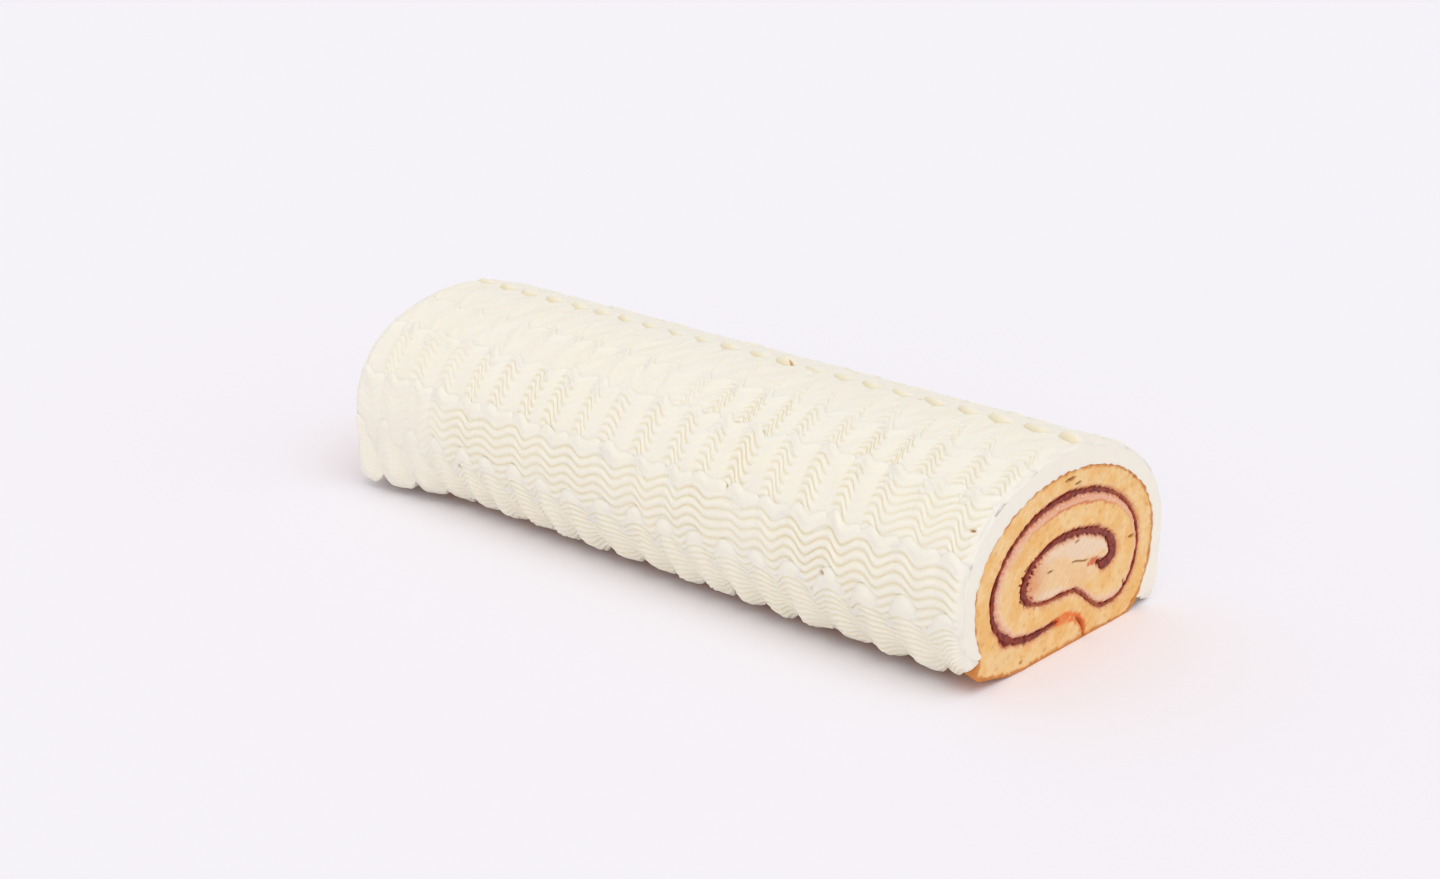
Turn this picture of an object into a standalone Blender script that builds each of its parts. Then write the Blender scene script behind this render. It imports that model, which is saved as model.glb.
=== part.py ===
"""Swiss roll cake: a rolled sponge sheet with a jam layer, under a coat of piped cream.

Frame: metres, +X along the log, +Z up, origin on the surface that the cake stands on, below its middle.
The three solids run the whole length, so both cut ends show the same spiral. The cross-section lies in
the YZ plane, and every round stretch of it is a quarter of an ellipse between two of its extreme points.
"""

import math

import bmesh
import bpy
from mathutils import Vector

MM = 0.001

# The log
LENGTH = 280 * MM
TOUCH_GAP = 0.3 * MM        # left between solids that touch

# Rolled sponge, as (across, height): where its flat foot starts, and where its outline leaves the foot,
# is widest and is highest
FLAT_FRONT = (-20 * MM, 0)
FOOT_FRONT = (-26 * MM, 0.4 * MM)
SIDE_FRONT = (-50 * MM, 29 * MM)
CROWN = (-2 * MM, 60.6 * MM)
SIDE_BACK = (50 * MM, 26 * MM)
FOOT_BACK = (36 * MM, 0)
OUTLINE_STEPS = 9           # points along each quarter of the outline

# Seam under the roll, where the end of the sheet is tucked in
SEAM_MOUTH = (12.5 * MM, 0)
SEAM_MOUTH_WIDTH = 3.0 * MM
SEAM_TOP = (0, 10.4 * MM)
SEAM_WIDTH = 0.9 * MM

# Jam, as (across, height, thickness) at the extremes of its two turns, from the seam to the heart
JAM_START = (-3.0 * MM, 10.3 * MM, 1.2 * MM)
FIRST_BOTTOM = (-16.0 * MM, 9.6 * MM, 3.2 * MM)
FIRST_FRONT = (-39.2 * MM, 26.4 * MM, 2.8 * MM)
FIRST_TOP = (-2.0 * MM, 51.9 * MM, 2.4 * MM)
FIRST_BACK = (41.2 * MM, 24.0 * MM, 1.6 * MM)
SECOND_BOTTOM = (27.5 * MM, 7.6 * MM, 1.5 * MM)
STEP_START = (23.5 * MM, 7.6 * MM, 1.5 * MM)
STEP_END = (3.0 * MM, 18.4 * MM, 2.0 * MM)
SECOND_HEEL = (-7.0 * MM, 18.8 * MM, 2.0 * MM)
SECOND_FRONT = (-22.8 * MM, 26.4 * MM, 4.0 * MM)
SECOND_TOP = (-2.5 * MM, 38.2 * MM, 3.2 * MM)
SECOND_BACK = (27.0 * MM, 25.4 * MM, 3.6 * MM)
HEART_BOTTOM = (21.5 * MM, 22.0 * MM, 3.6 * MM)
HEART_END = (11.0 * MM, 26.8 * MM, 1.4 * MM)
JAM_STEPS = 9               # points along each stretch of the jam

# Piped cream coat: rows run along the log, their smooth lips upwards, and meet in a crease on the crown
COAT_EDGE_FRONT = 17 * MM   # the coat starts this far round from FOOT_FRONT
COAT_EDGE_BACK = 9.5 * MM   # and ends this far round before FOOT_BACK
COAT_EDGE_THICKNESS = 2.4 * MM
CREASE = 112 * MM           # distance round from FOOT_FRONT to the crease on the crown
ROWS_FRONT = 5
ROWS_BACK = 5
LIP_THICKNESS = 7.9 * MM
FACE_THICKNESS = 6.9 * MM
VALLEY_THICKNESS = 5.4 * MM
CROWN_EXTRA = 1.6 * MM      # the coat is this much thicker on the crown
SKIRT = 0.8                 # how far it hangs straight down behind, where the sponge curves in
LIP_PLACE = 0.24            # share of a row's width, from its top
FACE_PLACE = 0.66
WAVES = 20                  # scallops along a row
STATIONS_PER_WAVE = 5
WAVE_SWAY = 1.5 * MM        # how far a scallop sways across its row
WAVE_PUFF = 0.6 * MM        # how far a scallop stands out


def quarter(start, end, steps, from_level):
    """Points of a quarter ellipse from start, left out, to end. from_level: start is a top or a bottom."""
    points = []
    for i in range(1, steps + 1):
        turn = math.pi / 2 * i / steps
        s, c = math.sin(turn), math.cos(turn)
        if from_level:
            points.append((start[0] + (end[0] - start[0]) * s, end[1] + (start[1] - end[1]) * c))
        else:
            points.append((end[0] + (start[0] - end[0]) * c, start[1] + (end[1] - start[1]) * s))
    return points


def ease(start, end, steps):
    """Points of an S-shaped stretch, level at both ends, from start, left out, to end."""
    points = []
    for i in range(1, steps + 1):
        share = i / steps
        rise = (1 - math.cos(math.pi * share)) / 2
        points.append((start[0] + (end[0] - start[0]) * share, start[1] + (end[1] - start[1]) * rise))
    return points


def sponge_outline():
    """The roll's outer line, from the front foot over the crown to the back foot."""
    points = [FOOT_FRONT]
    points += quarter(FOOT_FRONT, SIDE_FRONT, OUTLINE_STEPS, True)
    points += quarter(SIDE_FRONT, CROWN, OUTLINE_STEPS, False)
    points += quarter(CROWN, SIDE_BACK, OUTLINE_STEPS, True)
    points += quarter(SIDE_BACK, FOOT_BACK, OUTLINE_STEPS, False)
    return points


def jam_line():
    """The jam's middle line and its thickness at each point, from the seam to the heart of the roll."""
    stretches = [
        (JAM_START, FIRST_BOTTOM, "ease"),
        (FIRST_BOTTOM, FIRST_FRONT, "from level"),
        (FIRST_FRONT, FIRST_TOP, "from side"),
        (FIRST_TOP, FIRST_BACK, "from level"),
        (FIRST_BACK, SECOND_BOTTOM, "from side"),
        (SECOND_BOTTOM, STEP_START, "ease"),
        (STEP_START, STEP_END, "ease"),
        (STEP_END, SECOND_HEEL, "ease"),
        (SECOND_HEEL, SECOND_FRONT, "from level"),
        (SECOND_FRONT, SECOND_TOP, "from side"),
        (SECOND_TOP, SECOND_BACK, "from level"),
        (SECOND_BACK, HEART_BOTTOM, "from side"),
        (HEART_BOTTOM, HEART_END, "ease"),
    ]
    points, widths = [JAM_START[:2]], [JAM_START[2]]
    for start, end, kind in stretches:
        short = math.dist(start[:2], end[:2]) < 13 * MM
        steps = JAM_STEPS // 2 if short else JAM_STEPS
        if kind == "ease":
            points += ease(start, end, steps)
        else:
            points += quarter(start, end, steps, kind == "from level")
        widths += [start[2] + (end[2] - start[2]) * (i + 1) / steps for i in range(steps)]
    return points, widths


def seam_line():
    """The middle line of the crack from the mouth under the roll up to the jam, with its widths."""
    points = [SEAM_MOUTH] + quarter(SEAM_MOUTH, SEAM_TOP, JAM_STEPS, False)
    widths = [max(SEAM_WIDTH, SEAM_MOUTH_WIDTH * (1 - i / 3)) for i in range(len(points))]
    return points, widths


def beside(points, widths, extra=0):
    """The two lines that run half a width, and extra, to the left and to the right of a line."""
    left, right = [], []
    for i, (y, z) in enumerate(points):
        before, after = points[max(i - 1, 0)], points[min(i + 1, len(points) - 1)]
        run = Vector((after[0] - before[0], after[1] - before[1])).normalized()
        offset = widths[i] / 2 + extra
        left.append((y - run.y * offset, z + run.x * offset))
        right.append((y + run.y * offset, z - run.x * offset))
    return left, right


def material(name, colour, roughness):
    """A plain finish for one sub-part."""
    made = bpy.data.materials.new(name)
    made.use_nodes = True
    shader = made.node_tree.nodes["Principled BSDF"]
    shader.inputs["Base Color"].default_value = (*colour, 1)
    shader.inputs["Roughness"].default_value = roughness
    shader.inputs["Metallic"].default_value = 0
    return made


def extruded(name, section, finish, collection):
    """A flat outline in the YZ plane as a solid along the whole log."""
    curve = bpy.data.curves.new(name, "CURVE")
    curve.dimensions = "2D"
    curve.fill_mode = "BOTH"
    curve.extrude = LENGTH / 2
    spline = curve.splines.new("POLY")
    spline.points.add(len(section) - 1)
    for point, (across, height) in zip(spline.points, section):
        point.co = (across, height, 0, 1)
    spline.use_cyclic_u = True
    made = bpy.data.objects.new(name, curve)
    made.rotation_euler = (math.pi / 2, 0, math.pi / 2)     # the outline's own Z becomes the log's X
    curve.materials.append(finish)
    collection.objects.link(made)
    return made


def make_sponge(collection):
    """The sheet as it lies rolled: one outline that runs in along the jam and out again."""
    seam, seam_widths = seam_line()
    jam, jam_widths = jam_line()
    seam_left, seam_right = beside(seam, seam_widths)
    seam_left[0] = (seam_left[0][0], SEAM_MOUTH[1])
    seam_right[0] = (seam_right[0][0], SEAM_MOUTH[1])
    jam_left, jam_right = beside(jam, jam_widths, TOUCH_GAP)
    tip = (HEART_END[0] - HEART_END[2], HEART_END[1])
    section = sponge_outline()
    section += seam_right + jam_right + [tip]
    section += jam_left[::-1] + seam_left[::-1] + [FLAT_FRONT]
    finish = material("sponge", (0.86, 0.57, 0.25), 0.9)
    return extruded("sponge_sheet", section, finish, collection)


def make_jam(collection):
    """The jam between the turns, as one ribbon with uneven thickness."""
    points, widths = jam_line()
    left, right = beside(points, widths)
    finish = material("jam", (0.16, 0.02, 0.03), 0.35)
    return extruded("jam_layer", left + right[::-1], finish, collection)


def measured(points):
    """The distance of each point from the first one, along the line."""
    distance = [0.0]
    for a, b in zip(points, points[1:]):
        distance.append(distance[-1] + math.dist(a, b))
    return distance


def on_roll(outline, distance, along, height):
    """The point at a distance round the roll, raised by height off its skin."""
    i = max(k for k in range(len(distance) - 1) if distance[k] <= along)
    a, b = outline[i], outline[i + 1]
    share = (along - distance[i]) / (distance[i + 1] - distance[i])
    run = Vector((b[0] - a[0], b[1] - a[1])).normalized()
    y = a[0] + (b[0] - a[0]) * share - run.y * height
    z = a[1] + (b[1] - a[1]) * share + run.x * height
    return (y, z)


def inner_side(outline, distance, first, last):
    """The coat's smooth inner side: the roll's own skin from last back to first, raised by the gap."""
    skin = beside(outline, [0.0] * len(outline), TOUCH_GAP)[0]
    between = [point for point, along in zip(skin, distance) if first + MM < along < last - MM]
    ends = [on_roll(outline, distance, along, TOUCH_GAP) for along in (first, last)]
    return [ends[1]] + between[::-1] + [ends[0]]


def sway(x, row):
    """A scallop's place in its swing, from -1 to 1: a slow rise and a quicker fall along the log."""
    turn = 2 * math.pi * (WAVES * x / LENGTH + 0.10 * math.sin(2.3 * row))
    return math.sin(turn + 0.45 * math.sin(turn))


def piped_side(x, low, high, count):
    """The rows from a lower edge up to the crease, as (distance round, thickness) at x."""
    width = (high - low) / count
    up = math.copysign(1, width)
    side = [(low + up * WAVE_SWAY * sway(x, count), COAT_EDGE_THICKNESS)]
    for row in range(count):
        swing = sway(x, row)
        top = low + (row + 1) * width + up * WAVE_SWAY * swing
        side.append((top - FACE_PLACE * width, FACE_THICKNESS + WAVE_PUFF * swing))
        side.append((top - LIP_PLACE * width, LIP_THICKNESS + WAVE_PUFF * swing))
        side.append((top, VALLEY_THICKNESS))
    side[-1] = (high, VALLEY_THICKNESS)
    return side


def coat_section(x, outline, distance):
    """One cross-section of the coat at x, as a closed ring: the piped rows, then the smooth inner side."""
    first, last = COAT_EDGE_FRONT, distance[-1] - COAT_EDGE_BACK
    front = piped_side(x, first, CREASE, ROWS_FRONT)
    back = piped_side(x, last, CREASE, ROWS_BACK)
    ring = []
    for along, thickness in front + back[-2::-1]:
        y, z = on_roll(outline, distance, along, 0)
        crown = CROWN_EXTRA * (z / CROWN[1]) ** 4
        skirt = SKIRT * (SIDE_BACK[0] - y) if y > 0 and z < SIDE_BACK[1] else 0
        outer = on_roll(outline, distance, along, thickness + crown)
        ring.append((outer[0] + skirt, outer[1]))
    return ring + inner_side(outline, distance, first, last)


def make_cream(collection):
    """The coat: a grid bent into a ring at each station along the log, welded and capped."""
    outline = sponge_outline()
    distance = measured(outline)
    stations = WAVES * STATIONS_PER_WAVE
    around = len(coat_section(0, outline, distance))
    mesh = bmesh.new()
    bmesh.ops.create_grid(mesh, x_segments=stations, y_segments=around, size=0.5)
    sections = {}
    for vertex in mesh.verts:
        station = round((vertex.co.x + 0.5) * stations)
        place = round((vertex.co.y + 0.5) * around) % around
        x = LENGTH * (station / stations - 0.5)
        if station not in sections:
            sections[station] = coat_section(x, outline, distance)
        vertex.co = Vector((x, *sections[station][place]))
    bmesh.ops.remove_doubles(mesh, verts=mesh.verts, dist=0.01 * MM)
    bmesh.ops.holes_fill(mesh, edges=mesh.edges, sides=0)
    bmesh.ops.recalc_face_normals(mesh, faces=mesh.faces)
    bmesh.ops.dissolve_limit(mesh, angle_limit=math.radians(0.05), verts=mesh.verts, edges=mesh.edges)
    data = bpy.data.meshes.new("cream_coat")
    mesh.to_mesh(data)
    mesh.free()
    made = bpy.data.objects.new("cream_coat", data)
    data.materials.append(material("cream", (0.90, 0.87, 0.78), 0.5))
    data.shade_smooth()
    data.set_sharp_from_angle(angle=math.radians(50))
    collection.objects.link(made)
    return made


def main():
    for existing in list(bpy.data.objects):
        bpy.data.objects.remove(existing)
    collection = bpy.data.collections.new("swiss_roll_cake")
    bpy.context.scene.collection.children.link(collection)
    make_sponge(collection)
    make_jam(collection)
    make_cream(collection)


main()
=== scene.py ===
import math

import bmesh
import bpy
import numpy as np
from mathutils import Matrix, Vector


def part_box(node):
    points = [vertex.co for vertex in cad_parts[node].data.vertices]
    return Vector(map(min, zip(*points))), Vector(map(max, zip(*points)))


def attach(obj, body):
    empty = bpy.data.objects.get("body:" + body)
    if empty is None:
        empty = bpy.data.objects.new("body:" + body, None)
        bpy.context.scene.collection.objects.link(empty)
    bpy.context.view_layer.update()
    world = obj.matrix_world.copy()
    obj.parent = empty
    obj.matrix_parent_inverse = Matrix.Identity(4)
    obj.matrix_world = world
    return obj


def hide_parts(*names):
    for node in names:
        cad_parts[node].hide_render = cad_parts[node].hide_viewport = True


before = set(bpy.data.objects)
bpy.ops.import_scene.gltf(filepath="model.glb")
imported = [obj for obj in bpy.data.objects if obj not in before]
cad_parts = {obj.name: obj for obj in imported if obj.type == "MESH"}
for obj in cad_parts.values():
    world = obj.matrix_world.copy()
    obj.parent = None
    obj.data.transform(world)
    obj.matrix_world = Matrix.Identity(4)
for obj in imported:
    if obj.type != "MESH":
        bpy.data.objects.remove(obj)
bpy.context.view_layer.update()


# --- Sponge sheet ---------------------------------------------------------------------------------
# One thin sheet of baked egg sponge, rolled up with its filling, its end tucked in under the roll.
# A bread knife has cut both ends flat, so they show open yellow crumb; the sheet's browned skin is
# the outside of the roll, and cream and jam have soaked into the crumb on the inner side of the jam.

MM = 0.001

# The roll's outline, looking at its right end: places across and heights, in millimetres
ROLL_LOW, ROLL_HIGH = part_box("sponge_sheet")
HALF_LENGTH = ROLL_HIGH.x / MM
FLAT_FRONT = (-20, 0)                       # it rests on the flat from here to FOOT_BACK
FOOT_FRONT = (-26, 0.4)
SIDE_FRONT = (ROLL_LOW.y / MM + 1.2, 29)
CROWN = (-2, ROLL_HIGH.z / MM)
SIDE_BACK = (ROLL_HIGH.y / MM + 0.8, 26)
FOOT_BACK = (36, 0)
HEART = (0, 27)                             # middle of the section
SEAM_MOUTH = (12.5, 0)
SEAM_TOP = (0, 10.4)

# A fold of skin that stands out at the front of the right cut
FLAP_HEIGHT = 7.5
FLAP_SPREAD = 3.2
FLAP_WIDTH = 5.5
FLAP_RUN = (124, 137)                       # along the log: none, and at its widest

CRUMB_BACK = 0.4                            # how far the crumb lies behind the plane of a cut
SKIN_POINTS = 416                           # round the roll
FACE_RINGS = 94                             # from the middle of a cut face to its rim
WALL_STEPS = 36                             # along the roll
SPONGE_LAP = 2 * FACE_RINGS + WALL_STEPS


def linear(colour):
    """A sRGB hex colour as linear red, green, blue and alpha."""
    parts = [int(colour[i:i + 2], 16) / 255 for i in (1, 3, 5)]
    return [c / 12.92 if c <= 0.04045 else ((c + 0.055) / 1.055) ** 2.4 for c in parts] + [1.0]


def add_node(tree, kind, inputs=None, **settings):
    """Adds a shader node. Inputs are values, or output sockets to link from, by name or by number."""
    made = tree.nodes.new(kind)
    for name, value in settings.items():
        setattr(made, name, value)
    for key, value in (inputs or {}).items():
        if isinstance(value, bpy.types.NodeSocket):
            tree.links.new(value, made.inputs[key])
        else:
            made.inputs[key].default_value = value
    return made


def smooth_step(low, high, value):
    """0 below low, 1 above high, and a soft slope between them."""
    share = np.clip((value - low) / (high - low), 0, 1)
    return share * share * (3 - 2 * share)


def lumps(points, size, seed):
    """Soft random unevenness from -1 to 1, with lumps about size apart, over an array of points."""
    dice = np.random.default_rng(seed)
    total = np.zeros(len(points))
    for _ in range(8):
        direction = dice.normal(size=points.shape[1])
        direction *= dice.uniform(0.7, 1.5) / np.linalg.norm(direction)
        total += np.sin(points @ direction * math.pi / size + dice.uniform(0, 2 * math.pi))
    return np.clip(total / 4, -1, 1)


def quarter(start, end, from_level, steps=90):
    """Quarter of an ellipse from start, left out, to end. from_level: it sets out level."""
    turn = np.linspace(0, math.pi / 2, steps + 1)[1:]
    fast, slow = np.sin(turn), 1 - np.cos(turn)
    across, height = (fast, slow) if from_level else (slow, fast)
    return np.column_stack([start[0] + (end[0] - start[0]) * across, start[1] + (end[1] - start[1]) * height])


def even_points(line, count, closed=False):
    """Points at even distances along a line of points."""
    if closed:
        line = np.vstack([line, line[:1]])
    distance = np.concatenate([[0], np.cumsum(np.hypot(*np.diff(line, axis=0).T))])
    along = np.linspace(0, distance[-1], count + 1 if closed else count)
    if closed:
        along = along[:-1]
    return np.column_stack([np.interp(along, distance, line[:, 0]), np.interp(along, distance, line[:, 1])])


def nearest_on(line, points):
    """For each point: its distance from a line, with a sign that is positive to the right of the line's
    run, and the number of the nearest point of the line."""
    run = np.gradient(line, axis=0)
    run /= np.linalg.norm(run, axis=1)[:, None]
    signed = np.empty(len(points))
    number = np.empty(len(points), dtype=int)
    for first in range(0, len(points), 4000):
        part = points[first:first + 4000]
        gap = part[:, None, :] - line[None, :, :]
        nearest = np.argmin((gap ** 2).sum(2), axis=1)
        away = part - line[nearest]
        side = away[:, 0] * run[nearest, 1] - away[:, 1] * run[nearest, 0]
        signed[first:first + 4000] = np.copysign(np.linalg.norm(away, axis=1), side)
        number[first:first + 4000] = nearest
    return signed, number


def wrapped(name, across, around, place, finish):
    """A closed body from a flat grid: place() turns the grid's two shares, from 0 to 1, into points in
    millimetres and named values, and bends it shut. The seam is welded and open ends are filled."""
    mesh = bmesh.new()
    bmesh.ops.create_grid(mesh, x_segments=across, y_segments=around, size=0.5)
    shares = np.array([vertex.co[:2] for vertex in mesh.verts]) + 0.5
    shares = np.round(shares * (across, around)) / (across, around)
    points, values = place(shares[:, 0], shares[:, 1])
    for vertex, point in zip(mesh.verts, (points * MM).tolist()):
        vertex.co = point
    for key, numbers in values.items():
        layer = mesh.verts.layers.float.new(key)
        for vertex, number in zip(mesh.verts, numbers.tolist()):
            vertex[layer] = number
    bmesh.ops.remove_doubles(mesh, verts=mesh.verts, dist=0.003 * MM)
    bmesh.ops.holes_fill(mesh, edges=mesh.edges, sides=0)
    bmesh.ops.recalc_face_normals(mesh, faces=mesh.faces)
    data = bpy.data.meshes.new(name)
    mesh.to_mesh(data)
    mesh.free()
    data.shade_smooth()
    data.set_sharp_from_angle(angle=math.radians(42))
    data.materials.append(finish)
    made = bpy.data.objects.new(name, data)
    bpy.context.scene.collection.objects.link(made)
    return made


def ease(start, end, steps=40):
    """S-shaped stretch, level at both ends, from start, left out, to end."""
    share = np.linspace(0, 1, steps + 1)[1:]
    rise = (1 - np.cos(math.pi * share)) / 2
    return np.column_stack([start[0] + (end[0] - start[0]) * share, start[1] + (end[1] - start[1]) * rise])


# The jam's way through the roll, from the seam to the heart. Each stop gives its place across and its
# height, the jam's thickness halfway to it and at it, how deep the crumb on the jam's inner side is
# soaked there, and how pink that is. The last word says how the stretch before the stop runs: as a
# quarter of an ellipse that sets out level or sideways on, or easing from level to level.
JAM_STOPS = [
    (-2.4, 10.1, 0.9, 1.0, 0.5, 0.6, "start"),
    (-15.4, 9.6, 1.6, 2.0, 1.8, 0.6, "ease"),
    (-38.6, 26.4, 2.3, 1.7, 3.2, 0.6, "level"),
    (-1.4, 51.7, 1.2, 1.9, 3.2, 1.0, "side"),
    (41.9, 24.0, 1.0, 1.0, 2.2, 0.8, "level"),
    (28.0, 7.6, 1.2, 1.1, 2.8, 0.5, "side"),
    (24.0, 7.6, 1.1, 1.1, 2.6, 0.4, "ease"),
    (3.4, 18.4, 0.9, 1.2, 1.4, 0.4, "ease"),
    (-6.5, 18.8, 1.0, 0.9, 4.2, 0.0, "ease"),
    (-22.2, 26.4, 0.8, 3.4, 7.0, 0.0, "level"),
    (-1.9, 38.2, 1.3, 2.1, 6.5, 0.1, "side"),
    (27.4, 25.4, 2.2, 3.8, 8.0, 0.0, "level"),
    (22.4, 22.2, 4.2, 3.4, 2.5, 0.2, "side"),
    (18.4, 23.8, 2.8, 1.4, 2.0, 0.1, "ease"),
]
SLIT_START = (12.6, 26.6)                   # past the jam's end the turns touch in a dark slit
SLIT_END = (4.0, 28.2)
CRUMBLED = (-20, 29.5)                      # here the inner turn's jam has broken up into specks
CRUMBLED_SIZE = 60                          # of that place, in square millimetres

# Under the inner turn's top the crumb is soaked pale: an arch over this base line
WEDGE_TOP = (-1.9, 37.8)
WEDGE_FOOT = 25.6
WEDGE_REACH = (19, 28)                      # half widths, to the front and behind
WEDGE_BASE = [(-14, 36.5), (7.2, 28.2), (16, 27.2), (30, 27.2)]

# Ovals on the cut: across, height, half width, half height
HEART_SOAK = (2, 27, 22, 9)                 # crumb inside the inner turn
HEART_STAIN = (15.2, 25.3, 2.9, 1.3)        # jam rubbed off between the slit and the jam's end
TUNNELS = [                                 # left in the crumb by rising steam
    (0.6, 57.0, 3.2, 0.55),
    (4.8, 54.6, 1.6, 0.45),
    (38.0, 27.2, 1.8, 0.5),
    (-22.2, 3.0, 0.7, 0.7),
    (6.0, 34.8, 1.4, 0.4),
    (34.5, 12.2, 0.6, 1.1),
    (-8.5, 29.0, 1.3, 0.4),
]
JAM_POINTS = 700                            # along the jam's way

roll_line = np.vstack([
    [FOOT_FRONT],
    quarter(FOOT_FRONT, SIDE_FRONT, True),
    quarter(SIDE_FRONT, CROWN, False),
    quarter(CROWN, SIDE_BACK, True),
    quarter(SIDE_BACK, FOOT_BACK, False),
])
seam_line = np.vstack([[SEAM_MOUTH], quarter(SEAM_MOUTH, SEAM_TOP, False), [JAM_STOPS[0][:2]]])
slit_line = np.vstack([[SLIT_START], ease(SLIT_START, SLIT_END)])

stretches = [np.array([JAM_STOPS[0][:2]])]
layer_facts = [np.array([JAM_STOPS[0][3:6]])]
for before, after in zip(JAM_STOPS, JAM_STOPS[1:]):
    if after[6] == "ease":
        stretch = ease(before, after)
    else:
        stretch = quarter(before, after, after[6] == "level")
    share = np.linspace(0, 1, len(stretch) + 1)[1:]
    thick = np.interp(share, (0, 0.5, 1), (before[3], after[2], after[3]))
    reach = np.interp(share, (0, 1), (before[4], after[4]))
    pink = np.interp(share, (0, 1), (before[5], after[5]))
    stretches.append(stretch)
    layer_facts.append(np.column_stack([thick, reach, pink]))
jam_way = np.vstack(stretches)
jam_facts = np.vstack(layer_facts)
way_distance = np.concatenate([[0], np.cumsum(np.hypot(*np.diff(jam_way, axis=0).T))])
jam_line = even_points(jam_way, JAM_POINTS)
jam_distance = np.linspace(0, way_distance[-1], JAM_POINTS)
jam_thick, soak_reach, soak_pink = (np.interp(jam_distance, way_distance, fact) for fact in jam_facts.T)
jam_thick = jam_thick * (1 + 0.22 * lumps(jam_distance[:, None], 6.0, 5))
jam_thick = jam_thick * (1 + 0.22 * lumps(jam_distance[:, None], 1.8, 6))


def off_oval(y, z, across, height, wide, tall):
    """How far points lie from the middle of an oval: 1 on its rim."""
    return np.hypot((y - across) / wide, (z - height) / tall)


def on_cut(y, z, seed):
    """What the cut face does at each point: how far it lies back, and how its crumb is coloured."""
    flat = np.column_stack([y, z])
    grain = lumps(flat, 1.3, seed)

    # The distance from the jam's edge, and the specks that have broken off it
    off_jam, number = nearest_on(jam_line, flat)
    thick = jam_thick[number]
    edge = np.abs(off_jam) - thick / 2 + 0.15 * smooth_step(1.5, 0.8, thick)
    crumbled = np.exp(-((y - CRUMBLED[0]) ** 2 + (z - CRUMBLED[1]) ** 2) / CRUMBLED_SIZE)
    specks = smooth_step(0.15, 0.45, lumps(flat, 1.3, seed + 1)) * crumbled * smooth_step(4.5, 1.5, edge)
    edge = edge - 2.4 * specks * (edge > 0.3)

    # Pale and pink soaked crumb: inside the jam, under the inner turn's top, and round the heart
    reach = soak_reach[number] * (1 + 0.25 * lumps(flat, 7.0, seed + 2) + 0.1 * grain)
    depth = (off_jam - thick / 2) / reach
    soak = smooth_step(1.1, 0.6, depth) * (off_jam > 0) * (1 - 0.8 * crumbled)
    wide = np.where(y > WEDGE_TOP[0], WEDGE_REACH[1], WEDGE_REACH[0])
    arch = np.hypot((y - WEDGE_TOP[0]) / wide, (z - WEDGE_FOOT) / (WEDGE_TOP[1] - WEDGE_FOOT))
    over_base = z + 0.5 * grain - np.interp(y, *zip(*WEDGE_BASE))
    wedge = smooth_step(1.0, 0.92, arch) * smooth_step(-0.7, 0.7, over_base) * (z > 24)
    inside = 0.4 * smooth_step(1.15, 0.75, off_oval(y, z, *HEART_SOAK) + 0.1 * grain)
    soak = np.maximum(np.maximum(soak, wedge), inside)

    # Redder: the far edge of the pink crumb, the heart's stain, and round the specks
    line = np.exp(-((depth - 0.95) / 0.16) ** 2) * smooth_step(0.75, 1.0, soak_pink[number]) * (off_jam > 0)
    heart = smooth_step(1.3, 0.7, off_oval(y, z, *HEART_STAIN) + 0.3 * grain)
    line = np.maximum(np.maximum(line, heart), 0.7 * crumbled * (off_jam > 0))

    # Holes: the crumb's pores, the steam's tunnels and the slit at the heart
    # Painted shade: the pores are also coloured darker, for the shade inside them
    pores = smooth_step(0.7, 1.0, lumps(flat, 2.0, seed + 3))
    pores = pores + smooth_step(0.8, 1.0, lumps(flat, 3.1, seed + 4))
    tunnel = np.zeros(len(y))
    for oval in TUNNELS:
        tunnel = np.maximum(tunnel, smooth_step(1.25, 0.6, off_oval(y, z, *oval) + 0.25 * grain))
    slit = smooth_step(0.5, 0.1, np.abs(nearest_on(slit_line, flat)[0]))

    # The seam stands open at its mouth, and jam has stained it further in
    off_seam, seam_number = nearest_on(seam_line, flat)
    seam_share = seam_number / (len(seam_line) - 1)
    seam = smooth_step(0.9, 0.25, np.abs(off_seam)) * smooth_step(0.75, 0.35, seam_share)
    patch = smooth_step(2.7, 0.9, np.abs(off_seam) + 0.5 * grain) * smooth_step(-0.3, 0.3, seam_share)

    back = CRUMB_BACK + 0.2 * lumps(flat, 9.0, seed + 5) + 0.12 * grain
    back += 0.25 * pores * (1 - soak) + 0.75 * smooth_step(1.1, 0.1, edge + 0.2 * grain)
    back += 1.4 * seam + 0.9 * slit + 1.1 * tunnel
    # Painted shade: the slit, the tunnels and the open seam mouth are coloured dark brown for the shade
    # inside them
    dark = np.maximum(np.maximum(0.5 * slit, 0.9 * tunnel), 0.6 * seam)
    return back, {
        "edge": edge, "soak": soak, "pink": soak * soak_pink[number], "line": np.minimum(line, 1),
        "pore_shade": pores, "dark": dark, "patch": patch,
    }


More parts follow.
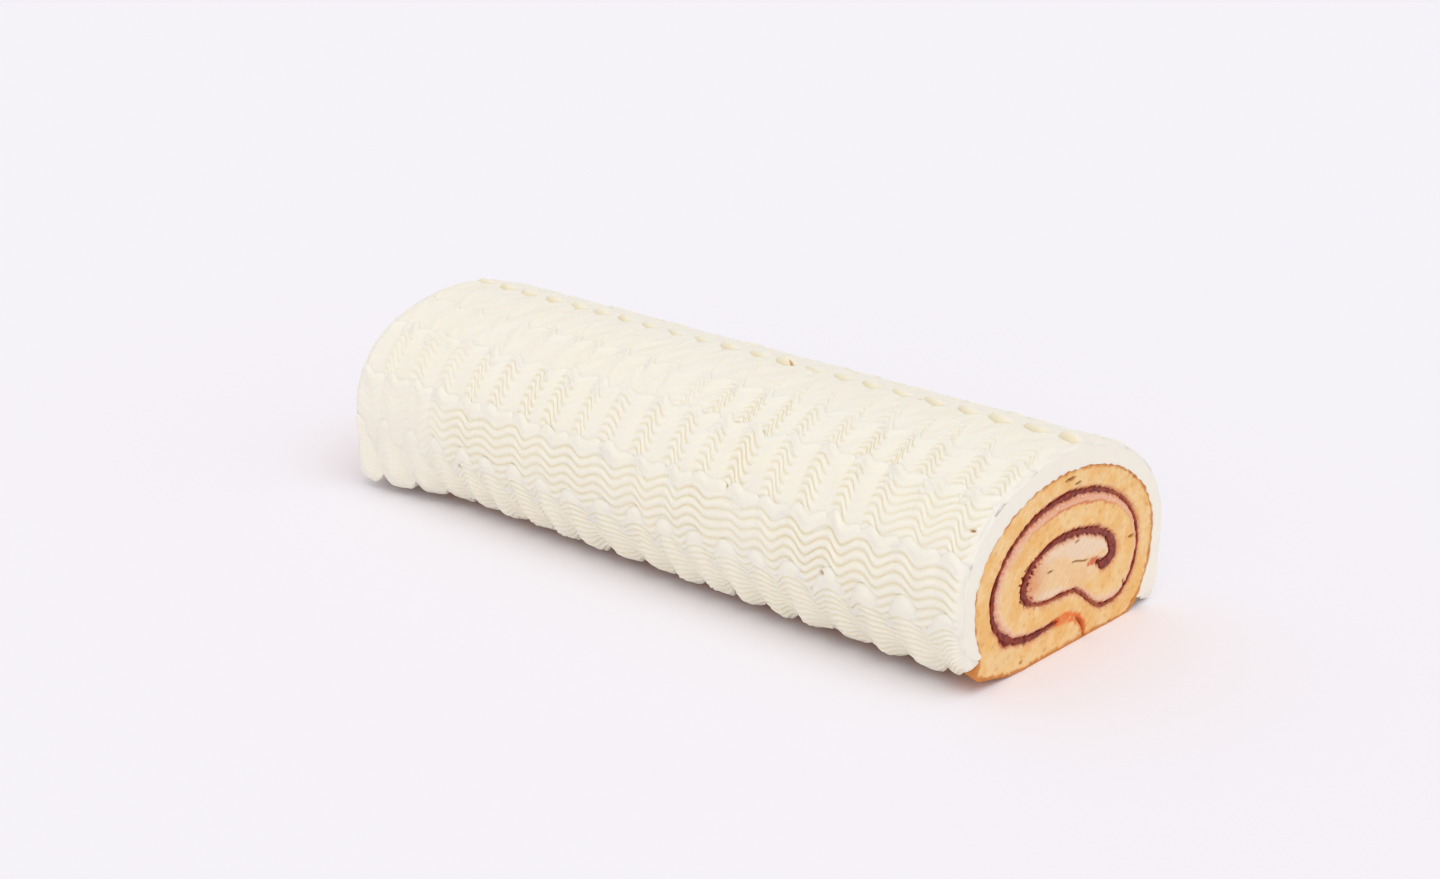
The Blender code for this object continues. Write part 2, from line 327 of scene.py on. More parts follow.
def place_sponge(turn, way):
    """The roll as a closed skin: over one cut face from its middle, along the wall, over the other."""
    rim = even_points(np.vstack([roll_line, [SEAM_MOUTH], [FLAT_FRONT]]), SKIN_POINTS, closed=True)
    flap = np.exp(-((rim[:, 1] - FLAP_HEIGHT) / FLAP_SPREAD) ** 2) * (rim[:, 0] < 0)
    number = np.round(turn * SKIN_POINTS).astype(int) % SKIN_POINTS
    steps = way * SPONGE_LAP
    ring = np.minimum(steps, SPONGE_LAP - steps) / FACE_RINGS
    out = np.minimum(ring, 1) ** 0.86       # the rings lie closer together near the rim
    y = HEART[0] + (rim[number, 0] - HEART[0]) * out
    z = HEART[1] + (rim[number, 1] - HEART[1]) * out
    wall = np.clip((steps - FACE_RINGS) / WALL_STEPS, 0, 1)
    on_wall = (wall > 0) & (wall < 1)

    right, left = on_cut(y, z, 20), on_cut(y, z, 40)
    back = np.where(wall < 0.5, right[0], left[0])
    back = np.where(out >= 1, CRUMB_BACK, back)
    x = (HALF_LENGTH - back) * (1 - 2 * wall)
    values = {key: np.where(wall < 0.5, right[1][key], left[1][key]) for key in right[1]}
    for key in ("soak", "pink", "line", "dark", "patch"):
        values[key] = np.where(on_wall, 0, values[key])
    skin = (1 - out) * np.hypot(rim[number, 0] - HEART[0], rim[number, 1] - HEART[1])
    values["skin"] = np.where(on_wall, 0, skin)

    solid = np.column_stack([x, y, z])
    dent = 0.1 + 0.25 * lumps(solid, 8.0, 61) + 0.25 * lumps(solid, 2.6, 62)
    dent = np.where((out >= 1) & (z > 0.5), dent, 0)
    dent -= FLAP_WIDTH * flap[number] * out ** 5 * smooth_step(*FLAP_RUN, x)
    inward = np.column_stack([HEART[0] - y, HEART[1] - z])
    inward /= np.maximum(np.linalg.norm(inward, axis=1), 1e-6)[:, None]
    return np.column_stack([x, y + inward[:, 0] * dent, np.maximum(z + inward[:, 1] * dent, 0)]), values


def sponge_crumb():
    """Baked egg sponge, torn open by the knife: a dry, matt, open yellow crumb without any gloss. The
    baked skin is golden brown, jam bleeds into the crumb beside it, and soaked crumb is pale and dense."""
    made = bpy.data.materials.new("baked egg sponge")
    made.use_nodes = True
    tree = made.node_tree
    shader = tree.nodes["Principled BSDF"]
    place = add_node(tree, "ShaderNodeTexCoord").outputs["Object"]
    fact = {
        name: add_node(tree, "ShaderNodeAttribute", attribute_name=name).outputs["Fac"]
        for name in ("edge", "soak", "pink", "line", "pore_shade", "dark", "patch", "skin")
    }
    noise = {
        name: add_node(tree, "ShaderNodeTexNoise", {
            "Vector": place, "Scale": 1 / (size * MM), "Detail": detail, "Roughness": rough}).outputs["Fac"]
        for name, size, detail, rough in (
            ("patches", 8, 3.0, 0.6), ("grain", 1.3, 5.0, 0.7), ("fine", 0.6, 2.0, 0.55),
            ("bleed", 1.5, 4.0, 0.65), ("bake", 2.6, 3.0, 0.6))
    }
    # Jam bleeds unevenly past its edge, and the crumb is browned unevenly deep below the skin
    bleed = add_node(tree, "ShaderNodeMath", {0: noise["bleed"], 1: 2.6}, operation="MULTIPLY").outputs[0]
    bleed = add_node(tree, "ShaderNodeMath", {0: fact["edge"], 1: bleed}, operation="ADD").outputs[0]
    baked = add_node(tree, "ShaderNodeMath", {0: noise["bake"], 1: 3.2}, operation="MULTIPLY").outputs[0]
    baked = add_node(tree, "ShaderNodeMath", {0: fact["skin"], 1: baked}, operation="ADD").outputs[0]
    near_jam = add_node(tree, "ShaderNodeMapRange", {
        "Value": fact["edge"], "From Min": 2.2, "From Max": 0.8}).outputs["Result"]
    soaked = add_node(tree, "ShaderNodeMix", {
        0: fact["pink"], 6: linear("#F5DCBE"), 7: linear("#EFB598")}, data_type="RGBA").outputs[2]
    brown = add_node(tree, "ShaderNodeMix", {
        0: noise["grain"], 6: linear("#BC6A32"), 7: linear("#E59A50")}, data_type="RGBA").outputs[2]
    # Each layer: its amount, from a value's low and high end, and the share it reaches; what else the
    # amount is multiplied by; and the colour it lays over the ones before
    layers = [
        (noise["patches"], 0.38, 0.62, 1.0, None, linear("#F9D398")),
        (noise["grain"], 0.52, 0.76, 0.35, None, linear("#E0A562")),
        (noise["grain"], 0.46, 0.28, 0.45, None, linear("#FBDBA8")),
        # painted shade in the crumb's pores
        (noise["fine"], 0.35, 0.65, 0.35, fact["pore_shade"], linear("#CE9250")),
        (noise["grain"], 0.2, 0.5, 1.0, fact["soak"], soaked),
        (noise["grain"], 0.2, 0.5, 0.95, fact["line"], linear("#D9744C")),
        (bleed, 3.3, 1.6, 0.65, None, linear("#E49466")),
        (noise["fine"], 0.58, 0.66, 0.85, near_jam, linear("#FBE6D2")),
        (bleed, 2.1, 1.2, 0.8, None, linear("#B85C40")),
        (bleed, 1.5, 0.9, 1.0, None, linear("#843024")),
        (noise["grain"], 0.2, 0.5, 0.95, fact["patch"], linear("#EE7A38")),
        # painted shade inside the slit, the tunnels and the open seam mouth
        (noise["fine"], 0.2, 0.5, 1.0, fact["dark"], linear("#8F5226")),
        (baked, 3.7, 2.2, 0.95, None, brown),
    ]
    crumb = linear("#F5C27A")
    for value, low, high, most, times, colour in layers:
        amount = add_node(tree, "ShaderNodeMapRange", {
            "Value": value, "From Min": low, "From Max": high, "To Min": 0.0, "To Max": most},
            interpolation_type="SMOOTHSTEP").outputs["Result"]
        if times is not None:
            amount = add_node(tree, "ShaderNodeMath", {0: amount, 1: times}, operation="MULTIPLY").outputs[0]
        crumb = add_node(tree, "ShaderNodeMix", {0: amount, 6: crumb, 7: colour}, data_type="RGBA").outputs[2]
    rough_height = add_node(tree, "ShaderNodeMath", {
        0: noise["grain"], 1: noise["fine"]}, operation="ADD").outputs[0]
    bump = add_node(tree, "ShaderNodeBump", {"Height": rough_height, "Strength": 0.4, "Distance": 0.4 * MM})
    tree.links.new(crumb, shader.inputs["Base Color"])
    tree.links.new(bump.outputs["Normal"], shader.inputs["Normal"])
    shader.inputs["Roughness"].default_value = 0.85
    shader.inputs["Specular IOR Level"].default_value = 0.25
    return made


sponge = wrapped("sponge_roll", SKIN_POINTS, SPONGE_LAP, place_sponge, sponge_crumb())
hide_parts("sponge_sheet")
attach(sponge, "root")


# --- Jam ------------------------------------------------------------------------------------------
# Dark red fruit jam, spread over the sheet with a palette knife before rolling. It runs the whole
# length as one thin wet layer of uneven thickness, and shows at the cuts a little below the crumb.

CAP_STEPS = 6                               # over an end of the layer
SLAB_STEPS = 24                             # along each side of it
SLAB_LAP = 2 * CAP_STEPS + 2 * SLAB_STEPS
CAP_SHARE = CAP_STEPS / SLAB_LAP
JAM_BACK = 0.55                             # how far it lies behind the plane of a cut


def round_slab(share):
    """A walk round a long flat slab: over one end from side -1 to 1, along, and back. It gives the
    side from -1 to 1, and the place along from 1 to -1."""
    lap = share * 2
    half = lap % 1.0
    cap = np.clip(half / (2 * CAP_SHARE), 0, 1) * 2 - 1
    run = 1 - 2 * np.clip((half - 2 * CAP_SHARE) / (1 - 2 * CAP_SHARE), 0, 1)
    run = np.sin(run * math.pi / 2)         # the steps along are closest near the two cuts
    returning = (lap >= 1) & (lap < 2)
    return np.where(returning, -cap, cap), np.where(returning, -run, run)


def place_jam(along, around):
    """The layer of jam: the jam line, thick on both sides, from one cut to the other."""
    number = np.round(along * (JAM_POINTS - 1)).astype(int)
    side, run = round_slab(around)
    out = np.gradient(jam_line, axis=0)
    out = np.column_stack([-out[:, 1], out[:, 0]])
    out /= np.linalg.norm(out, axis=1)[:, None]
    share = np.linspace(0, 1, JAM_POINTS)
    ends = np.minimum(smooth_step(-0.01, 0.03, share), smooth_step(1.004, 0.985, share))
    clear = np.maximum(jam_thick / 2 - 0.2, 0.3)         # it doesn't touch the crumb beside it
    half = clear * np.minimum(1, ends + 0.1)
    flat = jam_line[number] + out[number] * (side * half[number])[:, None]
    back = JAM_BACK + 0.15 * side ** 4 + 0.12 * lumps(flat, 1.5, 71) + 0.08 * lumps(flat, 3.4, 72)
    x = run * HALF_LENGTH - np.sign(run) * back * smooth_step(0.98, 1, np.abs(run))
    return np.column_stack([x, flat]), {"thin": smooth_step(1.5, 0.8, jam_thick[number])}


def jam_gel():
    """Cooked fruit jam: a wet, dark red gel with a bright gloss, thinner and redder where it smears."""
    made = bpy.data.materials.new("red fruit jam")
    made.use_nodes = True
    tree = made.node_tree
    shader = tree.nodes["Principled BSDF"]
    place = add_node(tree, "ShaderNodeTexCoord").outputs["Object"]
    pulp = add_node(tree, "ShaderNodeTexNoise", {"Vector": place, "Scale": 1 / (2.4 * MM), "Detail": 4.0})
    share = add_node(tree, "ShaderNodeMapRange", {
        "Value": pulp.outputs["Fac"], "From Min": 0.38, "From Max": 0.66})
    thick = add_node(tree, "ShaderNodeMix", {
        0: share.outputs["Result"], 6: linear("#6C1A16"), 7: linear("#963A20")}, data_type="RGBA").outputs[2]
    thin = add_node(tree, "ShaderNodeAttribute", attribute_name="thin").outputs["Fac"]
    colour = add_node(tree, "ShaderNodeMix", {
        0: thin, 6: thick, 7: linear("#A84C26")}, data_type="RGBA")
    bump = add_node(tree, "ShaderNodeBump", {
        "Height": pulp.outputs["Fac"], "Strength": 0.6, "Distance": 0.6 * MM})
    tree.links.new(colour.outputs[2], shader.inputs["Base Color"])
    tree.links.new(bump.outputs["Normal"], shader.inputs["Normal"])
    shader.inputs["Roughness"].default_value = 0.45
    shader.inputs["Specular IOR Level"].default_value = 0.3
    return made


jam = wrapped("jam_spiral", JAM_POINTS - 1, SLAB_LAP, place_jam, jam_gel())
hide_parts("jam_layer")
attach(jam, "root")


# --- Cream undercoat ------------------------------------------------------------------------------
# Whipped cream spread straight on the sponge, over the sides and the crown and open below. It fills
# the coat between the piped rows and is wiped off flat at both cuts, where it shows as a smooth ring.

COAT_FIRST = 17.0                           # distance round the skin from FOOT_FRONT, in millimetres
COAT_LAST_GAP = 9.5
CREASE = 112.0                              # where the piped rows of the two sides meet
BASE_THICK = 4.0                            # under the rows
RING_THICK = 5.6                            # at the cuts
RING_THINNER = 1.2                          # how much less that is at the front
RING_DEPTH = 1.6                            # how far in from a cut it stays that thick
CUT_ROUND = 0.8                             # how far the coat's edge is rounded off at a cut
CROWN_EXTRA = 1.6
SIDE_EXTRA = (1.2, 0.1)                     # at the front and behind
SKIRT = 0.8                                 # behind: 0 follows the sponge in, 1 hangs straight down
FAR_SKIRT = 1.15                            # the same, at the left end of the front
FAR_SKIRT_RUN = (-85, -130)                 # along the log: none, and all of it
RETREAT = 7.0                               # how far its lower edge draws back at the front of the cut
RETREAT_RUN = (131, 139)
COAT_GAP = 0.2                              # what it keeps from the surface that the roll stands on
BASE_POINTS = 320                           # from its front edge to its back edge

skin_distance = np.concatenate([[0], np.cumsum(np.hypot(*np.diff(roll_line, axis=0).T))])
COAT_LAST = skin_distance[-1] - COAT_LAST_GAP


def on_skin(x, along, height):
    """Points at a distance round the roll, raised off its skin. The cream is thicker on the crown and
    at the sides. Behind, and at the left end of the front, it hangs straight down where the sponge
    curves in."""
    run = np.gradient(roll_line, axis=0)
    out = np.column_stack([-run[:, 1], run[:, 0]])
    out /= np.linalg.norm(out, axis=1)[:, None]
    y, z = (np.interp(along, skin_distance, roll_line[:, i]) for i in (0, 1))
    away = np.column_stack([np.interp(along, skin_distance, out[:, i]) for i in (0, 1)])
    share = np.clip(height / 3, 0, 1)
    in_front = SIDE_EXTRA[0] * smooth_step(90, 60, along)
    behind = SIDE_EXTRA[1] * smooth_step(CREASE, CREASE + 35, along)
    extra = CROWN_EXTRA * (z / CROWN[1]) ** 4 + (in_front + behind)
    lift = height + extra * share
    hang = SKIRT * (SIDE_BACK[0] - y) * ((y > 0) & (z < SIDE_BACK[1])) * share
    far = FAR_SKIRT * smooth_step(*FAR_SKIRT_RUN, x)
    hang += far * (SIDE_FRONT[0] - y) * ((y < 0) & (z < SIDE_FRONT[1])) * share
    return np.column_stack([x, y + hang + away[:, 0] * lift, np.maximum(z + away[:, 1] * lift, COAT_GAP)])


def ring_thick(along):
    """The thickness of the smooth ring at a cut: thinner at the front, where the piping starts sooner."""
    return RING_THICK - RING_THINNER * smooth_step(70, 30, along)


def drawn_back(x):
    """How far the coat's front edge has drawn up towards the right cut."""
    return RETREAT * smooth_step(*RETREAT_RUN, x)


def rounded_off(x):
    """How far the coat's outside is let down at the cuts, to round its edge."""
    return CUT_ROUND * smooth_step(HALF_LENGTH - 1.2, HALF_LENGTH, np.abs(x)) ** 2


def place_undercoat(along, around):
    """The undercoat: a slab of cream bent over the roll."""
    side, run = round_slab(around)
    x = run * HALF_LENGTH
    near_cut = smooth_step(HALF_LENGTH - 2.5 * RING_DEPTH, HALF_LENGTH - RING_DEPTH, np.abs(x))
    # Between the cuts its edges lie back under the lowest rows; at the cuts they come out
    first = COAT_FIRST + 4.0 - 5.2 * near_cut + drawn_back(x)
    last = COAT_LAST - 4.0 + 5.0 * near_cut
    s = first + (last - first) * along
    flat = np.column_stack([x, s])
    to_edge = np.minimum(s - first, last - s)
    thick = BASE_THICK + (ring_thick(s) - BASE_THICK) * near_cut + 0.25 * lumps(flat, 9.0, 81)
    thick = 1.2 + (thick - 1.2) * np.sqrt(np.clip(to_edge / 5.0, 0, 1))
    thick -= rounded_off(x)
    bumpy = 0.25 * lumps(s[:, None], 2.2, 83) + 0.3 * lumps(s[:, None], 7.0, 84)
    height = thick * (side + 1) / 2 - 0.5 + bumpy * (1 - side) / 2
    back = 0.1 + 0.06 * lumps(np.column_stack([s, height * 3]), 5.0, 82)
    x = x - np.sign(run) * back * smooth_step(0.985, 1, np.abs(run))
    none = np.zeros(len(s))
    return on_skin(x, s, height), {"hollow_shade": none, "stain": none}


def whipped_cream():
    """Stabilised whipped cream: a warm white, satin foam that light enters a little. The hollows between
    the ridges and under the lips are painted a yellowish shade, so that they glow yellowish instead of
    going grey. Tiny air bubbles keep it from shining."""
    made = bpy.data.materials.new("whipped cream")
    made.use_nodes = True
    tree = made.node_tree
    shader = tree.nodes["Principled BSDF"]
    place = add_node(tree, "ShaderNodeTexCoord").outputs["Object"]
    hollow_shade = add_node(tree, "ShaderNodeAttribute", attribute_name="hollow_shade").outputs["Fac"]
    stain = add_node(tree, "ShaderNodeAttribute", attribute_name="stain").outputs["Fac"]
    cloud = add_node(tree, "ShaderNodeTexNoise", {"Vector": place, "Scale": 1 / (25 * MM), "Detail": 2.0})
    bubbles = add_node(tree, "ShaderNodeTexNoise", {"Vector": place, "Scale": 1 / (0.9 * MM), "Detail": 3.0})
    tint = add_node(tree, "ShaderNodeMix", {
        0: cloud.outputs["Fac"], 6: linear("#F8F3E7"), 7: linear("#F9F2DF")}, data_type="RGBA")
    # Painted shade: the hollows are mixed towards a darker, yellowish cream colour
    colour = add_node(tree, "ShaderNodeMix", {
        0: hollow_shade, 6: tint.outputs[2], 7: linear("#E9DDB4")}, data_type="RGBA")
    stained = add_node(tree, "ShaderNodeMix", {
        0: stain, 6: colour.outputs[2], 7: linear("#C48A42")}, data_type="RGBA")
    bump = add_node(tree, "ShaderNodeBump", {
        "Height": bubbles.outputs["Fac"], "Strength": 0.15, "Distance": 0.2 * MM})
    tree.links.new(stained.outputs[2], shader.inputs["Base Color"])
    tree.links.new(bump.outputs["Normal"], shader.inputs["Normal"])
    shader.inputs["Roughness"].default_value = 0.5
    shader.inputs["Specular IOR Level"].default_value = 0.35
    shader.inputs["Subsurface Weight"].default_value = 0.25
    shader.inputs["Subsurface Radius"].default_value = (1.0, 0.8, 0.5)
    shader.inputs["Subsurface Scale"].default_value = 2.0 * MM
    return made


cream = whipped_cream()
undercoat = wrapped("cream_undercoat", BASE_POINTS, SLAB_LAP, place_undercoat, cream)
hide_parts("cream_coat")
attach(undercoat, "root")


# --- Piped rows -----------------------------------------------------------------------------------
# The same cream, piped lengthwise in ten ribbons with a flat nozzle that has teeth on one side. The
# nozzle is swung as it travels, so each ribbon is thrown into waves. Its plain upper edge swells into
# a row of soft puffs over the foot of the row above, and the topmost ribbons meet along the crown.

# USUAL_ROW is what most rows have, ROWS what each row has instead, from the lowest up to the crease on
# both sides, and BACK_LIP what differs in the topmost row behind, whose puffs lie over the crease:
# width: of the row, before all rows are stretched alike to fill the coat
# wave, ahead: length of a wave, and how far the row's waves are shifted along the log
# swing, arched, calm: half the nozzle's swing, on the log's left and at its right end; how far the
#   waves are arches instead of slanting; how far they die down at the lip
# teeth, depth: pitch and depth of the grooves
# plain, fades, top: how far the grooves fade outside the steep side of a wave, where along the log they
#   have faded away, and at which share of the ribbed face they end
# puff, puff_at: the puffs' length and height, and their place in the wave
# peak, uneven: how pointed the puffs are, and how far they differ in size
# sunk, over: how far the face sinks towards its lip, and how much further it reaches over the next row
# smeared: how far a palette knife has smoothed the row's left end
USUAL_ROW = {
    "wave": 14.15, "ahead": 0, "calm": 0.0, "plain": 0.0, "fades": -150, "top": 2.0, "puff_at": 0.4,
    "peak": 3, "uneven": 1, "sunk": 0, "over": 0,
}
ROWS = [
    {"width": 19.9, "swing": (2.4, 2.3), "arched": 1.0, "teeth": 2.4, "depth": 0.65,
     "puff": (4.2, 0.55), "puff_at": 0.0, "peak": 1.5, "smeared": 0.8},
    {"width": 15.5, "swing": (1.2, 1.6), "arched": 0.5, "teeth": 2.6, "depth": 0.75,
     "puff": (3.2, 0.6), "over": 0.6, "smeared": 0.8},
    {"width": 18.4, "swing": (2.2, 2.4), "arched": 0.25, "calm": 0.3, "teeth": 2.6, "depth": 0.75,
     "plain": 0.9, "puff": (3.0, 0.5), "over": 1.0, "smeared": 0.6},
    {"width": 16.6, "swing": (2.6, 2.9), "arched": 0.0, "calm": 0.2, "teeth": 2.9, "depth": 0.65,
     "plain": 1.0, "fades": 0, "puff": (2.2, 0.3), "smeared": 0.2, "wave": 12.75, "ahead": 8},
    {"width": 24.6, "swing": (4.4, 4.8), "arched": 0.0, "calm": 0.95, "teeth": 3.4, "depth": 0.45,
     "plain": 1.0, "fades": 20, "top": 0.62, "puff": (1.6, 0.15), "puff_at": 0.0, "smeared": 0.0,
     "wave": 12.75, "ahead": 8, "sunk": 0.3, "over": 2.5},
]
BACK_LIP = {
    "swing": (1.0, 1.0), "calm": 0.0, "puff": (4.2, 1.8), "puff_at": 0.85, "peak": 4, "uneven": 0.3,
    "sunk": 0.6, "ahead": 0, "over": 0,
}
WAVES = 25                                  # more than a row has room for
LAST_WAVE = 22                              # counted from the left, the last with its crest on the log
LAST_CREST = 130.5                          # where along the log that is
LEAN = 0.17                                 # how far the crests lean back for every millimetre up
LEAN_FROM = 28                              # distance up the coat at which they don't
RIBBED_END = (112, 95)                      # right of this even a fairly plain row is ribbed all over
SMEAR_RUN = (-75, -108)                     # along the log: not smeared, and as smeared as it gets
TUCK = 7.0                                  # how far a ribbon starts below the lip that covers its foot
RIBBON_THICK = 5.5
ROW_STATIONS = 620
FACE_STEPS = 96                             # across the ribbed face of a ribbon
LIP_STEPS = 16                              # over its lip
UNDER_STEPS = 6                             # back below it
RIBBON_LAP = FACE_STEPS + LIP_STEPS + UNDER_STEPS

# Small holes, down to the sponge: along the log and round the skin from FOOT_FRONT
HOLES = [(87.4, 40.4), (-82, 34), (135.8, 61.4), (76, 110.6), (21, 110.8)]


def waves(x, row, length, ahead):
    """The nozzle's swing along a row: the share of a wave passed since its crest, and for each wave its
    width of swing, size of puff, depth of grooves, and share at which they fade out."""
    dice = np.random.default_rng(300 + row)
    columns = np.random.default_rng(9)      # the same for all rows, whose waves stand above each other
    crests = LAST_CREST + ahead + (np.arange(WAVES) - LAST_WAVE) * length
    crests = crests + columns.uniform(-1.2, 1.2, WAVES) + dice.uniform(-1.5, 1.5, WAVES)
    phase = np.interp(x, crests, np.arange(WAVES))
    spread = ((0.65, 1.3), (0.6, 1.25), (0.7, 1.15), (0.42, 0.62))
    return phase % 1, *(np.interp(phase, np.arange(WAVES), dice.uniform(*ends, WAVES)) for ends in spread)


def place_row(row, facts, low, high):
    """A function that places one ribbon between two distances round the roll, lip at the second."""
    pitch = abs(high - low)
    up = math.copysign(1, high - low)
    lowest = low in (COAT_FIRST, COAT_LAST)
    puff_length, puff_height = facts["puff"]
    face_top = pitch - 0.55 * puff_length - 0.4 + facts["over"]
    ridges = round((face_top + TUCK) / facts["teeth"]) + 0.5

    def place(along, around):
        x = (along * 2 - 1) * (HALF_LENGTH - 0.3)
        steps = np.round(around * RIBBON_LAP) % RIBBON_LAP
        face = np.clip(steps / FACE_STEPS, 0, 1)
        lip = np.clip((steps - FACE_STEPS) / LIP_STEPS, 0, 1)
        under = np.clip((steps - FACE_STEPS - LIP_STEPS) / UNDER_STEPS, 0, 1)
        over = under == 0
        off_cut = smooth_step(HALF_LENGTH - 1.0, HALF_LENGTH - 3.6, np.abs(x))

        # The nozzle's swing, and the puff that it leaves in each wave
        level = abs(low - COAT_FIRST if up > 0 else COAT_LAST - low) + face * pitch
        leaning = x + LEAN * (level - LEAN_FROM)
        share, width, puff, deep, end = waves(leaning, row, facts["wave"], facts["ahead"])
        puff = 1 + (puff - 1) * facts["uneven"]
        off_crest = np.minimum(share, 1 - share) * 2
        crest = np.sqrt(1 - off_crest ** 2.8)
        off_puff = np.abs((share - facts["puff_at"] + 0.5) % 1 - 0.5) * 2
        dome = np.sqrt(1 - off_puff ** 2.8)
        slant = np.cos(2 * math.pi * (share + 0.1 * np.sin(math.pi * share) ** 2))
        arch = 1 - 2 * off_crest ** 2 if lowest else np.cos(math.pi * off_crest ** 1.4)
        swing = np.interp(x, (50, 110), facts["swing"])
        sway = swing * width * (slant + (arch - slant) * facts["arched"])
        sway = sway * (1 - facts["calm"] * smooth_step(0.6, 1.0, face))
        sway = sway + 0.4 * lumps(x[:, None], 9.0, 600 + row)

        # The face: t runs up it, from its foot, which is lobed where it is the coat's edge
        foot = np.full(len(x), -TUCK)
        if lowest:
            foot = -0.4 - 5.4 * (crest ** 2 - 0.6) + 0.8 * lumps(x[:, None], 3.4, 500 + row)
            foot += drawn_back(x) if up > 0 else 0
            sway = sway * smooth_step(0.0, 0.2, face)
        else:
            sway = sway * (0.5 + 0.5 * smooth_step(0.0, 0.25, face))
        t = foot + (face_top - foot) * face
        base = RIBBON_THICK + 0.2 * face
        if lowest:
            base = 1.2 + (base - 1.2) * np.sqrt(1 - (1 - np.clip(face / 0.3, 0, 1)) ** 2)
            column = np.cos(math.pi * off_crest) - 0.5
            base += (1.7 - 0.8 * smooth_step(0.2, 0.6, face)) * column * smooth_step(0, 0.3, face)
        else:
            base -= 1.2 * smooth_step(-0.8, -4.2, t) - 0.4 * (dome - 0.7) * smooth_step(0.2, 0.9, face)

        # The grooves: in the plainer rows they show only where the nozzle falls back from a crest
        on_fall = np.maximum(smooth_step(end, end - 0.16, share), smooth_step(0.84, 0.9, share))
        plain = facts["plain"] * (smooth_step(*RIBBED_END, x) if facts["plain"] < 1 else 1)
        fade = plain * (1 - on_fall)
        smear = smooth_step(*SMEAR_RUN, x) * facts["smeared"]
        depth = facts["depth"] * (1 - fade) * (1 - smear) * (0.35 + 0.65 * off_cut) * deep
        depth = depth * (0.15 + 0.85 * smooth_step(facts["fades"] - 10, facts["fades"] + 30, x))
        depth = depth * smooth_step(facts["top"], facts["top"] - 0.35, face)
        wobble = 0.12 * lumps(np.column_stack([x, t]), 7.0, 450 + row)
        groove = 1 - np.abs(np.sin(math.pi * (ridges * face + wobble))) ** 0.85
        groove = groove * depth * smooth_step(0.02, 0.06, face) * smooth_step(1.0, 0.96, face)
        base = base - facts["sunk"] * smooth_step(0.3, 0.9, face)
        base = base - 0.3 * fade * facts["depth"] * smooth_step(0.02, 0.1, face) * smooth_step(1.0, 0.9, face)

        # The lip, swollen into puffs, and the way back below
        turn = np.clip(lip - 0.5, 0, 0.5) * math.pi
        length = 0.8 + puff_length * dome * puff
        tall = 0.1 + puff_height * (dome * puff) ** facts["peak"]
        drop = -0.4 - 0.5 * puff_height
        t = np.where(lip > 0, face_top + length * np.where(lip < 0.5, lip, 0.5 + 0.5 * np.sin(turn)), t)
        swell = drop + (tall * smooth_step(0, 0.5, lip) - drop) * np.cos(turn)
        height = np.where(lip > 0, base + swell, base - groove)
        t = t + (foot - t) * under
        height = np.where(under > 0, height + (2.2 - height) * np.minimum(1, under * 4), height)

        # Small holes, soft unevenness, and flush with the smooth ring at the cuts
        s = low + up * (t + sway)
        stain = np.zeros(len(x))
        for hole_x, hole_s in HOLES:
            off_hole = np.hypot((x - hole_x) / 1.2, (s - hole_s) / 0.45)
            stain = np.maximum(stain, smooth_step(1.2, 0.5, off_hole))
        height = height + (0.28 * lumps(np.column_stack([x, t]), 6.0, 400 + row) - 0.9 * stain) * over
        flush = ring_thick(s) - 0.5
        height = np.where(height > flush, flush + (height - flush) * off_cut, height)
        height = height - rounded_off(x) * over
        # Painted shade: a yellowish colour deep in the grooves, on the undersides of the back row's puffs
        # that stand over the crease, and under the other rows' lips
        hollow_shade = np.clip(groove / 0.8, 0, 1) * 0.65
        if puff_height > 1:
            hollow_shade = np.maximum(hollow_shade, 0.75 * smooth_step(0.4, 0.9, lip) * over * dome ** 2)
        else:
            hollow_shade = np.maximum(hollow_shade, 0.3 * smooth_step(0.75, 0.95, lip) * over)
        return on_skin(x, s, height), {"hollow_shade": hollow_shade * off_cut, "stain": stain * over}

    return place


for end, first_row in ((COAT_FIRST, 0), (COAT_LAST, len(ROWS))):
    stretch = (CREASE - end) / sum(facts["width"] for facts in ROWS)
    low = end
    for level, facts in enumerate(ROWS):
        row = first_row + level
        high = low + facts["width"] * stretch
        facts = USUAL_ROW | facts
        if row == 2 * len(ROWS) - 1:
            facts = facts | BACK_LIP
        place = place_row(row, facts, low, high)
        ribbon = wrapped(f"cream_row_{row + 1:02d}", ROW_STATIONS, RIBBON_LAP, place, cream)
        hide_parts("cream_coat")
        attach(ribbon, "root")
        low = high


# --- Floor ----------------------------------------------------------------------------------------
# A wide sheet of matt white studio paper that the cake stands on.

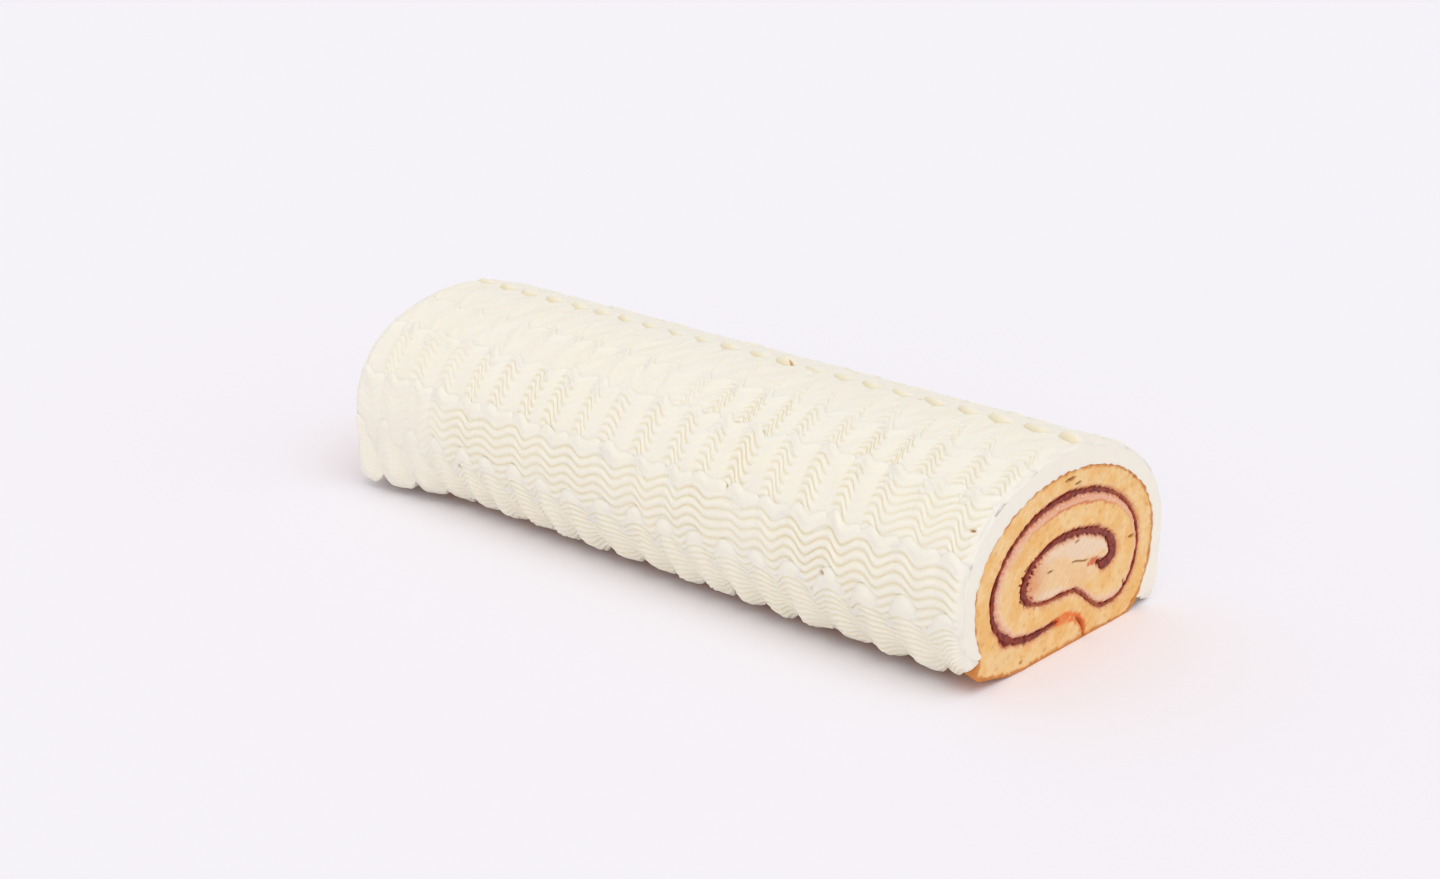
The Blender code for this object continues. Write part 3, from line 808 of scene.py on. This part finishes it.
mesh = bmesh.new()
bmesh.ops.create_grid(mesh, x_segments=1, y_segments=1, size=8.0)
data = bpy.data.meshes.new("floor")
mesh.to_mesh(data)
mesh.free()
floor = bpy.data.objects.new("floor", data)
bpy.context.scene.collection.objects.link(floor)
paper = bpy.data.materials.new("matt white paper")
paper.use_nodes = True
paper.node_tree.nodes["Principled BSDF"].inputs["Base Color"].default_value = linear("#F9F7FC")
paper.node_tree.nodes["Principled BSDF"].inputs["Roughness"].default_value = 1.0
paper.node_tree.nodes["Principled BSDF"].inputs["Specular IOR Level"].default_value = 0.0
data.materials.append(paper)


# --- Light and camera -----------------------------------------------------------------------------
# A bright white studio: soft light from all round, a very wide soft light high on the right, and a
# weaker one low in front that lifts the shadows.
# The camera stands to the front and right of the log, a little above it.

CAMERA_AZIMUTH = math.radians(42.16)
CAMERA_ELEVATION = math.radians(19.64)
CAMERA_DISTANCE = 895.4 * MM
AIM = Vector((-72.2, 73.5, 0.0)) * MM

world = bpy.data.worlds.new("studio")
world.use_nodes = True
world.node_tree.nodes["Background"].inputs["Color"].default_value = linear("#FFFDFF")
world.node_tree.nodes["Background"].inputs["Strength"].default_value = 0.73
bpy.context.scene.world = world

for name, energy, spread, direction in (
    ("key", 0.75, 50, (0.45, -0.1, 1.0)),
    ("fill", 0.35, 60, (0.3, -1.0, 0.15)),
):
    light = bpy.data.lights.new(name, "SUN")
    light.energy = energy
    light.angle = math.radians(spread)
    light_object = bpy.data.objects.new(name, light)
    light_object.rotation_euler = Vector(direction).to_track_quat("Z", "Y").to_euler()
    bpy.context.scene.collection.objects.link(light_object)

bpy.context.scene.view_settings.view_transform = "Standard"

back = Vector((
    math.sin(CAMERA_AZIMUTH) * math.cos(CAMERA_ELEVATION),
    -math.cos(CAMERA_AZIMUTH) * math.cos(CAMERA_ELEVATION),
    math.sin(CAMERA_ELEVATION),
))
camera = bpy.data.objects.new("camera", bpy.data.cameras.new("camera"))
camera.data.lens = 56.26
camera.data.sensor_width = 36.0
camera.location = AIM + back * CAMERA_DISTANCE
camera.rotation_euler = back.to_track_quat("Z", "Y").to_euler()
bpy.context.scene.collection.objects.link(camera)
bpy.context.scene.camera = camera
